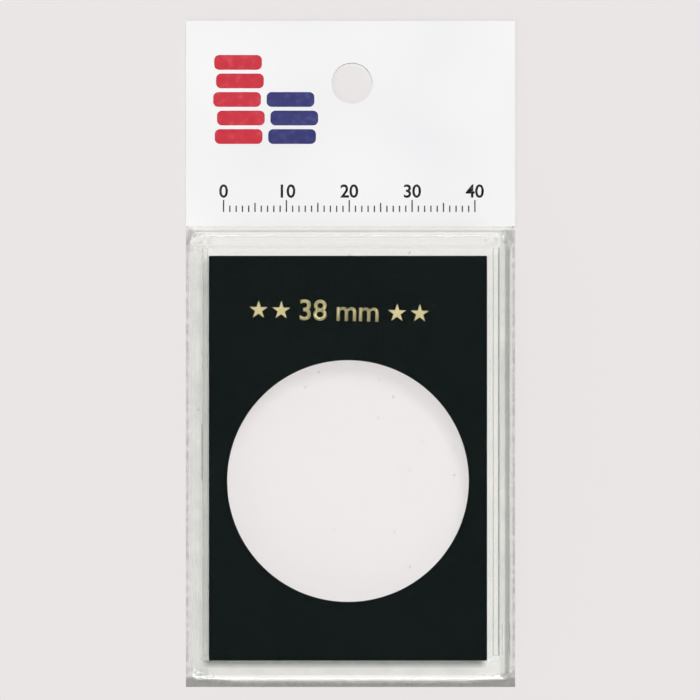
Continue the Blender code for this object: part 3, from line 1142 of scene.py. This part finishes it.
# %% Header and ink finishes
# Reach of the painted light above the header's lower edge.
PAINTED_LIGHT_REACH = 14.0 * MM
WHITE_PATCHES = (0.2, 0.8)
BLUISH_WHITE = (0.90, 0.905, 0.925)
PLAIN_WHITE = (0.95, 0.95, 0.95)
# Painted light towards the header's lower edge.
PAINTED_LIGHT_WHITE = (0.985, 0.985, 0.985)
HALF_GLOSS = (0.3, 0.42)
THIN_INK = (0.55, 0.8)
INK_GLOSS = (0.3, 0.45)


def header_white():
    material, tree, shader = new_finish("white_header_sheet")
    marks = add_marks(tree, cloud_scale=55.0, scratch_scale=8000.0, speck_scale=300.0, cloud_detail=0.0)
    patches = map_range(tree, marks["Clouds"], *WHITE_PATCHES)
    white = mix_colour(tree, patches, BLUISH_WHITE, PLAIN_WHITE)
    _, y, _ = split(tree, coordinates(tree))
    # Painted light: brighter towards the lower edge, to make up for the insert's shade.
    lower = map_range(tree, y, header_low.y + PAINTED_LIGHT_REACH, header_low.y)
    looks = {
        "Base Color": mix_colour(tree, lower, white, PAINTED_LIGHT_WHITE),
        "Roughness": map_range(tree, marks["Clouds"], *CLOUD_SPREAD, *HALF_GLOSS),
        "Normal": bump(tree, marks["Scratches"], strength=0.1, depth=0.01 * MM),
    }
    set_inputs(tree, shader, looks)
    return material


def ink(name, colour, thin_colour):
    material, tree, shader = new_finish(name)
    clouds = add_marks(tree, cloud_scale=900.0, scratch_scale=1500.0, speck_scale=2600.0)["Clouds"]
    looks = {
        "Base Color": mix_colour(tree, map_range(tree, clouds, *THIN_INK), colour, thin_colour),
        "Roughness": map_range(tree, clouds, *CLOUD_SPREAD, *INK_GLOSS),
    }
    set_inputs(tree, shader, looks)
    return material


header_plastic = header_white()
black_ink = ink("black_ink", colour=(0.003, 0.003, 0.004), thin_colour=(0.02, 0.02, 0.022))
red_ink = ink("red_ink", colour=(0.62, 0.012, 0.035), thin_colour=(0.70, 0.06, 0.08))
blue_ink = ink("blue_ink", colour=(0.018, 0.020, 0.16), thin_colour=(0.05, 0.055, 0.24))
print("finishes:", header_plastic.name, black_ink.name, red_ink.name, blue_ink.name)

# %% [markdown]
# ## Bag film
#
# Film this thin doesn't bend the view, so it needs no refraction. Mostly it is a clear gloss, but in some
# places it is cloudy grey: at the side welds in the flat strip beside the holder, partly the film's own
# cloud and partly painted shade; at the bottom weld, which widens towards the bottom corners and is painted
# dark as the holder's shade; and in the crumpled corners and a dull band over the holder's top end, which
# are painted shade. These are masks by place, and the normal in Object space tells the flat strip from the
# folds.

# %% Cloudy places and painted shade of the film
FOLD_FLAT = 0.96
# The side welds are partly the film's own cloud and partly painted shade.
SIDE_WELD_CLOUD_AND_SHADE = (0.072, 0.168)
# Painted shade: the bottom weld lies in the holder's shadow.
BOTTOM_WELD_SHADE = (0.3995, 0.564)
BOTTOM_FADE = 0.3 * MM
CORNER_SHADE_REACH = 7.0 * MM
CORNER_SHADE = 0.7 * MM
CREASES = (0.5, 0.66)
# Painted shade in the creases and over the holder's top end.
CRUMPLE_SHADE = 0.4
END_SHADE = 0.09
END_FROM = cover_high.y - 0.7 * MM
END_TO = cover_high.y + 0.2 * MM
END_FADE = 0.25 * MM


def film_cloud(tree, aside, y, upward, clouds):
    """How cloudy the film is at its welds, partly painted shade,
    and the painted shade at its crumpled corners and over the holder's end.
    """
    # Side welds: partly the film's own cloud, partly painted shade.
    beside_holder = calculate(tree, "GREATER_THAN", aside, half_width)
    flat = calculate(tree, "GREATER_THAN", upward, FOLD_FLAT)
    side = multiply(tree, beside_holder, flat, map_range(tree, clouds, *PATCHES, *SIDE_WELD_CLOUD_AND_SHADE))

    # Painted shade: the bottom weld, wider towards the corners.
    wider = map_range(tree, aside, half_width - CORNER_SHADE_REACH, half_width, 0.0, CORNER_SHADE)
    weld_y = calculate(tree, "SUBTRACT", y, wider)
    in_weld = map_range(tree, weld_y, film_bottom_y + BOTTOM_FADE, film_bottom_y - BOTTOM_WELD / 2)
    bottom = multiply(tree, in_weld, map_range(tree, clouds, *PATCHES, *BOTTOM_WELD_SHADE))

    # Painted shade in the creases of the crumpled corners.
    near_side = map_range(tree, aside, half_width - CRUMPLE_REACH, half_width)
    near_mouth = map_range(tree, y, mouth_y - CRUMPLE_REACH, mouth_y)
    near_bottom = map_range(tree, y, film_bottom_y + CRUMPLE_REACH / 2, film_bottom_y)
    creases = map_range(tree, clouds, *CREASES, 0.0, CRUMPLE_SHADE)
    crumple = multiply(tree, creases, near_side, largest(tree, near_mouth, near_bottom))

    # Painted shade: a dull band over the holder's top end.
    end = multiply(tree, within(tree, y, END_FROM, END_TO, END_FADE), END_SHADE)
    return largest(tree, side, bottom, crumple, end)


print("painted shade of the bottom weld:", BOTTOM_WELD_SHADE)

# %% [markdown]
# The gloss is a mirror of which Alpha lets very little show: more at a graze, which the Layer Weight node
# finds, and most at the folds, which mirror their surroundings from any side. Where the film is cloudy or
# painted with shade, the mirror gives way to the grey of a weld and of painted shade, and at the mouth to a
# pale haze, which is painted light.

# %% Film finish
FILM_ROUGHNESS = 0.12
FILM_GLOSS = 0.012
GRAZE_GLOSS = 0.1
FOLD_GLOSS = 0.28
FOLD_STEEP = 0.35
FOLD_FADE = 0.03
SCUFF_GLOSS = 0.02
FULL_CLOUD_OR_PAINT = 0.12
# Painted light: a pale haze at the mouth.
MOUTH_PAINTED_LIGHT = 0.6
MOUTH_PAINTED_LIGHT_REACH = 0.7 * MM
MIRROR_WHITE = (0.92, 0.93, 0.92)
# Grey of the welds and of the painted shade.
WELD_AND_SHADE_GREY = (0.30, 0.30, 0.28)
HAZE_PAINTED_LIGHT_WHITE = (0.93, 0.94, 0.90)


def film_gloss(tree, upward, scratches):
    facing = add_node(tree, "ShaderNodeLayerWeight", {"Blend": 0.5})["Facing"]
    graze = multiply(tree, facing, GRAZE_GLOSS)
    fold = multiply(tree, within(tree, upward, FOLD_STEEP, FOLD_FLAT, FOLD_FADE), FOLD_GLOSS)
    return largest(tree, graze, fold, multiply(tree, scratches, SCUFF_GLOSS))


def bag_film(name):
    material, tree, shader = new_finish(name)
    marks = add_marks(tree, cloud_scale=700.0, scratch_scale=6000.0, speck_scale=350.0)
    x, y, _ = split(tree, coordinates(tree))
    _, _, normal_z = split(tree, coordinates(tree, "Normal"))
    upward = calculate(tree, "ABSOLUTE", normal_z)
    weld_and_shade = film_cloud(tree, calculate(tree, "ABSOLUTE", x), y, upward, marks["Clouds"])
    # Painted light: a pale haze at the mouth lifts the shade under the header's edge.
    mouth_light = map_range(tree, y, mouth_y - MOUTH_PAINTED_LIGHT_REACH, mouth_y, 0.0, MOUTH_PAINTED_LIGHT)
    # Weld grey, painted shade and the painted light at the mouth in one mask.
    cloud_and_paint = largest(tree, weld_and_shade, mouth_light)
    is_cloud_or_paint = map_range(tree, cloud_and_paint, 0.0, FULL_CLOUD_OR_PAINT)
    is_weld_or_shade = calculate(tree, "GREATER_THAN", weld_and_shade, mouth_light)
    cloud_or_paint_colour = mix_colour(tree, is_weld_or_shade, HAZE_PAINTED_LIGHT_WHITE, WELD_AND_SHADE_GREY)
    shows = largest(tree, film_gloss(tree, upward, marks["Scratches"]), cloud_and_paint)
    looks = {
        "Base Color": mix_colour(tree, is_cloud_or_paint, MIRROR_WHITE, cloud_or_paint_colour),
        "Metallic": calculate(tree, "SUBTRACT", 1.0, is_cloud_or_paint),
        "Roughness": FILM_ROUGHNESS,
        "Alpha": calculate(tree, "ADD", shows, FILM_GLOSS),
    }
    set_inputs(tree, shader, looks)
    return material


front_film_finish = bag_film("clear_front_film")
back_film_finish = bag_film("clear_back_film")
print("finishes:", front_film_finish.name, back_film_finish.name)

# %% [markdown]
# ## Put the pieces on the frame
#
# Each piece gets its finish, rides on the body that it belongs to, and stands for the frame's plain node
# where there is one. The prints ride with the bag, the foil with the insert.

# %% Finish, body, node and slot of each piece
DRESSING = (
    (tray, tray_plastic, "tray", "back_tray", "clear_plastic"),
    (cover, cover_plastic, "cover", "front_cover", "clear_plastic"),
    (insert, black_plastic, "insert", "coin_insert", "black_plastic"),
    (stamp, foil, "insert", None, "gold_foil"),
    (header, header_plastic, "bag", "header_panel", "white_header"),
    (scale, black_ink, "bag", None, "header_ink"),
    (stacks[0], red_ink, "bag", None, "header_ink"),
    (stacks[1], blue_ink, "bag", None, "header_ink"),
    (back_film, back_film_finish, "bag", "bag_back_film", "clear_film"),
    (film, front_film_finish, "bag", "bag_front_film", "clear_film"),
)
for piece, finish, body, node, slot in DRESSING:
    piece.data.materials.clear()
    piece.data.materials.append(finish)
    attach(piece, body)
    if node:
        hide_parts(node)
    print(f"{piece.name} rides on {body}")

# %% [markdown]
# Lamps shine through clear plastic and film, which a renderer finds slowly. So the clear pieces cast no
# shadow, and light that matt surfaces throw back crosses them too. What the eye sees through them still
# bends.

# %% Let light through the clear pieces
for piece in (tray, cover, back_film, film):
    piece.visible_shadow = False
    piece.visible_diffuse = False
print("clear pieces cast no shadow")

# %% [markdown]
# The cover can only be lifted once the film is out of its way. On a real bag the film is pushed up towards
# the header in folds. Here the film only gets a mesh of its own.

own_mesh(film)

# %% [markdown]
# ## Pale floor
#
# The pack lies on a plain pale floor. Pale by its colour alone, it would throw much light up into the
# clear plastic. So its colour is a middle grey, and a glow that only the camera, mirrors and clear plastic
# see makes it pale. It keeps the object's shadow.

# %% Floor with a glow for the eye
FLOOR_SIZE = 6.0
FLOOR_GAP = 0.05 * MM
FLOOR_GREY = (0.28, 0.27, 0.27, 1.0)
FLOOR_GLOW = (1.0, 0.964, 0.964, 1.0)
FLOOR_SEEN = 0.55
FLOOR_THROUGH_CLEAR = 0.8

floor = start_plane("pale_floor", (FLOOR_SIZE, FLOOR_SIZE), (0.0, 0.0, -FLOOR_GAP))
floor_finish, floor_tree, floor_shader = new_finish("pale_floor")
rays = add_node(floor_tree, "ShaderNodeLightPath")
straight_or_mirrored = largest(floor_tree, rays["Is Camera Ray"], rays["Is Glossy Ray"])
seen = multiply(floor_tree, straight_or_mirrored, FLOOR_SEEN)
seen_through = multiply(floor_tree, rays["Is Transmission Ray"], FLOOR_THROUGH_CLEAR)
floor_looks = {
    "Base Color": FLOOR_GREY,
    "Roughness": 0.9,
    "Specular IOR Level": 0.0,
    "Emission Color": FLOOR_GLOW,
    "Emission Strength": largest(floor_tree, seen, seen_through),
}
set_inputs(floor_tree, floor_shader, floor_looks)
floor.data.materials.append(floor_finish)
print(f"floor {FLOOR_SIZE} m wide")

# %% [markdown]
# ## Tent of light
#
# The light is a white tent with a dark opening straight above, where the camera stands: flat faces of
# clear plastic mirror that opening and stay clear, while rounded edges mirror the bright walls. The right
# side is dark and the back is dim, which draws darker lines along the holder's right and top. Rays through
# clear plastic are spared the dark side, and the camera itself sees an even backdrop.

# %% Tent as a world
TENT_WHITE = (1.0, 0.99, 0.985, 1.0)
TENT_BRIGHT = 0.95
TENT_DARK = 0.0
OPENING_EDGE = math.sin(math.radians(72))
WALL_TOP = math.sin(math.radians(58))
RIGHT_SIDE = (0.15, 0.6)
RIGHT_SIDE_LEFT_OVER = 0.08
BACK_TO_FRONT = (0.7, -0.7)
BACK_SIDE = 0.38
FRONT_SIDE = 1.18
BACKDROP = 0.8

world = bpy.data.worlds.new("light_tent")
bpy.context.scene.world = world
world.use_nodes = True
tent = world.node_tree
to_x, to_y, to_z = split(tent, coordinates(tent, "Generated"))
rays = add_node(tent, "ShaderNodeLightPath")
walls = map_range(tent, to_z, WALL_TOP, OPENING_EDGE, TENT_BRIGHT, TENT_DARK)
open_side = map_range(tent, to_x, *RIGHT_SIDE, 1.0, RIGHT_SIDE_LEFT_OVER)
side_share = largest(tent, open_side, rays["Is Transmission Ray"])
front_share = map_range(tent, to_y, *BACK_TO_FRONT, BACK_SIDE, FRONT_SIDE)
light = multiply(tent, walls, side_share, front_share)
eye_or_light = {"Factor": rays["Is Camera Ray"], "A": light, "B": BACKDROP}
strength = add_node(tent, "ShaderNodeMix", eye_or_light)["Result"]
set_inputs(tent, tent.nodes["Background"], {"Color": TENT_WHITE, "Strength": strength})
print("tent:", world.name)

# %% [markdown]
# ## Soft sun
#
# A tent alone leaves no shadow. A sun from the top right adds the insert's shadow and highlights on edges
# that slope towards it. Its wide disc keeps the shadow soft.

# %% Sun
SUN_PLACE = (0.3, 0.4, 0.6)
SUN_POWER = 1.92
SUN_TILT = math.radians(26)
SUN_FROM = math.radians(-22)
SUN_SOFTNESS = math.radians(24)

deselect_all()
bpy.ops.object.light_add(type="SUN", location=SUN_PLACE, rotation=(-SUN_TILT, 0.0, SUN_FROM))
sun = bpy.context.object
sun.name = "soft_sun"
sun.data.energy = SUN_POWER
sun.data.angle = SUN_SOFTNESS
print(f"sun of strength {SUN_POWER}, {math.degrees(SUN_SOFTNESS):.0f} degrees wide")

# %% [markdown]
# ## Camera
#
# The picture looks straight down. From far away with a long lens it has next to no perspective, and the
# lens follows from the distance and the width that the picture shows. Many clear layers lie over each
# other, so a ray may cross more of them than Blender allows by default, or they would turn black.

# %% Camera above the pack
PICTURE_WIDTH = 111.1 * MM
PICTURE_CENTRE = (-0.08 * MM, 0.63 * MM)
CAMERA_DISTANCE = 2.4
SENSOR_WIDTH = 36.0
LAYERS_TO_CROSS = 32

deselect_all()
camera_z = cover_high.z + CAMERA_DISTANCE
bpy.ops.object.camera_add(location=(*PICTURE_CENTRE, camera_z), rotation=(0, 0, 0))
camera = bpy.context.object
camera.name = "picture_camera"
camera.data.sensor_width = SENSOR_WIDTH
camera.data.lens = SENSOR_WIDTH * CAMERA_DISTANCE / PICTURE_WIDTH
bpy.context.scene.camera = camera
bpy.context.scene.view_settings.view_transform = "Standard"
for limit in ("transparent_max_bounces", "transmission_bounces", "glossy_bounces", "max_bounces"):
    setattr(bpy.context.scene.cycles, limit, LAYERS_TO_CROSS)
print(f"camera {CAMERA_DISTANCE} m above the cover, lens {camera.data.lens:.0f} mm")
